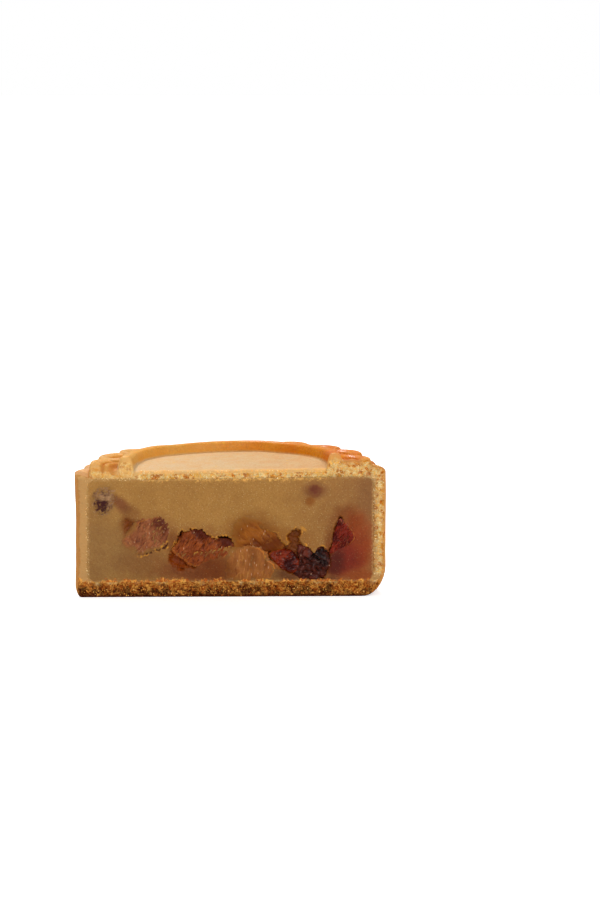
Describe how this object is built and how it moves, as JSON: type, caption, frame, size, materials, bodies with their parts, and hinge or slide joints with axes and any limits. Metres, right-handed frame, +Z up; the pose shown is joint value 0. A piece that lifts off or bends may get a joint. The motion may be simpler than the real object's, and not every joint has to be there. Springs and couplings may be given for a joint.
{
  "type": "mooncake",
  "caption": "Half of a baked mooncake with a scalloped, petal-moulded golden crust; the upright cut face shows smooth sweet paste set with candied fruit.",
  "frame": {"origin": "middle of the half's bounding box, on the table under its flat base", "axes": "+Z up out of the moulded top, -Y out of the cut face towards the viewer, +X along the cut to the right"},
  "size_m": [0.075, 0.037, 0.035],
  "materials": {
    "crust": "baked dough, glazed with egg on top, dry and crumbly where cut",
    "paste": "smooth sweet bean or lotus paste with a fine moist grain",
    "purple_nut": "mottled nut or dried fruit, dull",
    "pink_fruit_chunk": "fibrous candied fruit, moist",
    "red_fruit_chunk": "fibrous candied fruit, moist",
    "amber_jelly": "clear amber fruit jelly, glossy",
    "pale_melon_piece": "pale clear candied melon, glossy",
    "glossy_red_piece": "dark red candied fruit, glossy",
    "dark_raisin": "near-black wrinkled raisin, glossy",
    "red_wedge": "red fibrous wedge of candied fruit",
    "small_purple_piece": "small purple fruit just under the paste"
  },
  "bodies": {
    "root": {"crust": "crust", "paste": "paste", "purple_nut": "purple_nut", "pink_fruit_chunk": "pink_fruit_chunk", "red_fruit_chunk": "red_fruit_chunk", "amber_jelly": "amber_jelly", "pale_melon_piece": "pale_melon_piece", "glossy_red_piece": "glossy_red_piece", "dark_raisin": "dark_raisin", "red_wedge": "red_wedge", "small_purple_piece": "small_purple_piece"}
  },
  "joints": []
}
